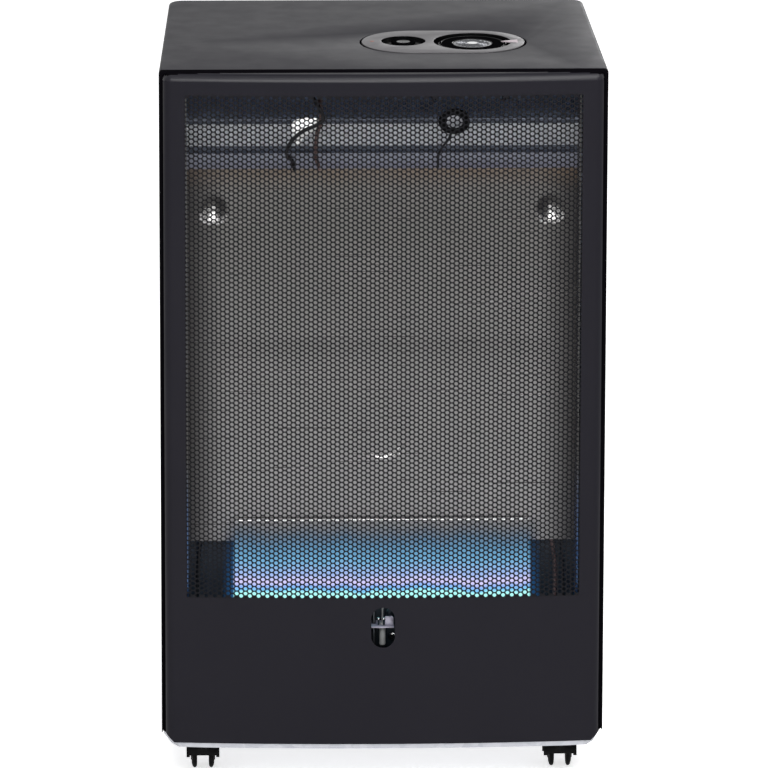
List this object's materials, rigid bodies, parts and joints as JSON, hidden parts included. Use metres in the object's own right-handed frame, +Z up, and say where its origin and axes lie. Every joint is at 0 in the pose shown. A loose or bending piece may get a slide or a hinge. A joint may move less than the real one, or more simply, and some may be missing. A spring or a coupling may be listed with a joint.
{
  "type": "portable gas cabinet heater",
  "caption": "Upright portable gas cabinet heater: bowed perforated front over a long bar burner, sight slot, knob and igniter button in the top, lift-off back cover, swivel casters.",
  "frame": {"origin": "on the floor, under the middle of the heater's box", "axes": "+Z up, -Y out of the perforated front, +X to the right of someone looking at the front"},
  "size_m": [0.4402, 0.405, 0.7258],
  "materials": {
    "case_paint": "satin anthracite powder coat",
    "galvanised_sheet": "zinc coated sheet",
    "heat_steel": "bright heat-tinted steel",
    "brass": "turned brass",
    "black_rubber": "black coated pipe and lead",
    "copper": "drawn copper",
    "ceramic_white": "unglazed insulator",
    "bezel_plastic": "satin warm grey",
    "black_plastic": "black, moulded",
    "chrome_plate": "bright plated",
    "cast_alloy": "die cast",
    "caster_plastic": "black nylon",
    "wheel_rubber": "black tread"
  },
  "bodies": {
    "cabinet": {"left_side_panel": "case_paint", "right_side_panel": "case_paint", "top_panel": "case_paint", "front_panel": "case_paint", "guard_mesh": "case_paint", "base_tray": "galvanised_sheet", "rear_partition": "galvanised_sheet", "burner_shelf": "galvanised_sheet", "mixing_tube": "galvanised_sheet", "pilot_bracket": "galvanised_sheet", "valve_bracket": "galvanised_sheet", "reflector_panel": "heat_steel", "left_cheek": "heat_steel", "right_cheek": "heat_steel", "top_deflector": "heat_steel", "burner_bar": "heat_steel", "flame_plate": "heat_steel", "injector": "brass", "pilot_burner": "brass", "hose_inlet": "brass", "gas_pipe": "black_rubber", "ignition_lead": "black_rubber", "thermocouple": "copper", "spark_electrode": "ceramic_white", "control_bezel": "bezel_plastic", "piezo_igniter": "black_plastic", "overheat_cutout": "black_plastic", "pipe_clip": "chrome_plate", "shelf_screw_left": "chrome_plate", "shelf_screw_right": "chrome_plate", "bracket_screw_left": "chrome_plate", "bracket_screw_right": "chrome_plate", "pilot_screw": "chrome_plate", "gas_valve": "cast_alloy"},
    "spindle": {"valve_spindle": "brass"},
    "knob": {"control_knob": "black_plastic", "knob_cap": "chrome_plate"},
    "igniter": {"igniter_button": "black_plastic"},
    "cover": {"rear_cover": "case_paint"},
    "caster_front_left": {"caster_hood_front_left": "caster_plastic", "caster_stem_front_left": "chrome_plate", "caster_axle_front_left": "chrome_plate"},
    "wheel_front_left_left_body": {"wheel_front_left_left": "wheel_rubber"},
    "wheel_front_left_right_body": {"wheel_front_left_right": "wheel_rubber"},
    "caster_front_right": {"caster_hood_front_right": "caster_plastic", "caster_stem_front_right": "chrome_plate", "caster_axle_front_right": "chrome_plate"},
    "wheel_front_right_left_body": {"wheel_front_right_left": "wheel_rubber"},
    "wheel_front_right_right_body": {"wheel_front_right_right": "wheel_rubber"},
    "caster_rear_left": {"caster_hood_rear_left": "caster_plastic", "caster_stem_rear_left": "chrome_plate", "caster_axle_rear_left": "chrome_plate"},
    "wheel_rear_left_left_body": {"wheel_rear_left_left": "wheel_rubber"},
    "wheel_rear_left_right_body": {"wheel_rear_left_right": "wheel_rubber"},
    "caster_rear_right": {"caster_hood_rear_right": "caster_plastic", "caster_stem_rear_right": "chrome_plate", "caster_axle_rear_right": "chrome_plate"},
    "wheel_rear_right_left_body": {"wheel_rear_right_left": "wheel_rubber"},
    "wheel_rear_right_right_body": {"wheel_rear_right_right": "wheel_rubber"}
  },
  "joints": [
    {"name": "knob_press", "type": "slide", "parent": "cabinet", "child": "spindle", "axis": [0, 0, -1], "range_m": [0, 0.004], "stiffness_N_per_m": 900, "springref_m": -0.002},
    {"name": "knob_turn", "type": "hinge", "parent": "spindle", "child": "knob", "pos_m": [0.091, -0.0555, 0.715], "axis": [0, 0, 1], "range_deg": [0, 180]},
    {"name": "igniter_press", "type": "slide", "parent": "cabinet", "child": "igniter", "axis": [0, 0, -1], "range_m": [0, 0.004], "stiffness_N_per_m": 900, "springref_m": -0.002},
    {"name": "rear_cover_lift", "type": "slide", "parent": "cabinet", "child": "cover", "axis": [0, 0, 1], "range_m": [0, 0.016]},
    {"name": "swivel_front_left", "type": "hinge", "parent": "cabinet", "child": "caster_front_left", "pos_m": [-0.179, -0.1505, 0.037], "axis": [0, 0, 1], "continuous": true},
    {"name": "roll_front_left_left", "type": "hinge", "parent": "caster_front_left", "child": "wheel_front_left_left_body", "pos_m": [-0.188, -0.1405, 0.01471], "axis": [1, 0, 0], "continuous": true},
    {"name": "roll_front_left_right", "type": "hinge", "parent": "caster_front_left", "child": "wheel_front_left_right_body", "pos_m": [-0.17, -0.1405, 0.01471], "axis": [1, 0, 0], "continuous": true},
    {"name": "swivel_front_right", "type": "hinge", "parent": "cabinet", "child": "caster_front_right", "pos_m": [0.179, -0.1505, 0.037], "axis": [0, 0, 1], "continuous": true},
    {"name": "roll_front_right_left", "type": "hinge", "parent": "caster_front_right", "child": "wheel_front_right_left_body", "pos_m": [0.17, -0.1405, 0.01471], "axis": [1, 0, 0], "continuous": true},
    {"name": "roll_front_right_right", "type": "hinge", "parent": "caster_front_right", "child": "wheel_front_right_right_body", "pos_m": [0.188, -0.1405, 0.01471], "axis": [1, 0, 0], "continuous": true},
    {"name": "swivel_rear_left", "type": "hinge", "parent": "cabinet", "child": "caster_rear_left", "pos_m": [-0.168, 0.0955, 0.037], "axis": [0, 0, 1], "continuous": true},
    {"name": "roll_rear_left_left", "type": "hinge", "parent": "caster_rear_left", "child": "wheel_rear_left_left_body", "pos_m": [-0.177, 0.1055, 0.01471], "axis": [1, 0, 0], "continuous": true},
    {"name": "roll_rear_left_right", "type": "hinge", "parent": "caster_rear_left", "child": "wheel_rear_left_right_body", "pos_m": [-0.159, 0.1055, 0.01471], "axis": [1, 0, 0], "continuous": true},
    {"name": "swivel_rear_right", "type": "hinge", "parent": "cabinet", "child": "caster_rear_right", "pos_m": [0.168, 0.0955, 0.037], "axis": [0, 0, 1], "continuous": true},
    {"name": "roll_rear_right_left", "type": "hinge", "parent": "caster_rear_right", "child": "wheel_rear_right_left_body", "pos_m": [0.159, 0.1055, 0.01471], "axis": [1, 0, 0], "continuous": true},
    {"name": "roll_rear_right_right", "type": "hinge", "parent": "caster_rear_right", "child": "wheel_rear_right_right_body", "pos_m": [0.177, 0.1055, 0.01471], "axis": [1, 0, 0], "continuous": true}
  ]
}
